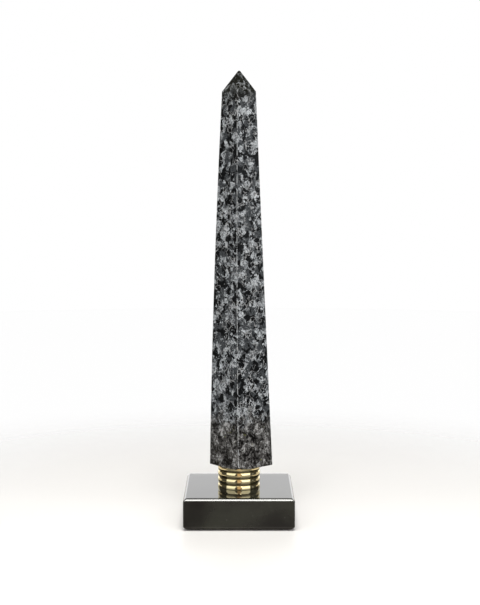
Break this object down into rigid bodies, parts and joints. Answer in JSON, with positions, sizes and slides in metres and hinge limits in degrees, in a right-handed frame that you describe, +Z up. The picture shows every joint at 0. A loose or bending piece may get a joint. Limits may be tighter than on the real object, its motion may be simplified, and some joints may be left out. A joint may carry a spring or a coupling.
{
  "type": "desk obelisk ornament",
  "caption": "Tapering square stone obelisk with a low pyramid point, set edge-on on a grooved brass collar and a bevelled square black stone plinth.",
  "frame": {"origin": "centre of the plinth, on the surface that the foot pads stand on", "axes": "+Z up along the threaded rod; +X and +Y square with the plinth's sides, with -Y at the front"},
  "size_m": [0.0762, 0.0762, 0.3129],
  "materials": {
    "mottled_gabbro": "polished",
    "polished_brass": "polished",
    "black_marble": "polished",
    "zinc_plated_steel": "satin",
    "black_rubber": "matte"
  },
  "bodies": {
    "root": {"shaft": "mottled_gabbro", "collar": "polished_brass", "plinth": "black_marble", "threaded_rod": "zinc_plated_steel", "washer": "zinc_plated_steel", "nut": "zinc_plated_steel", "foot_pad_1": "black_rubber", "foot_pad_2": "black_rubber", "foot_pad_3": "black_rubber", "foot_pad_4": "black_rubber"}
  },
  "joints": []
}
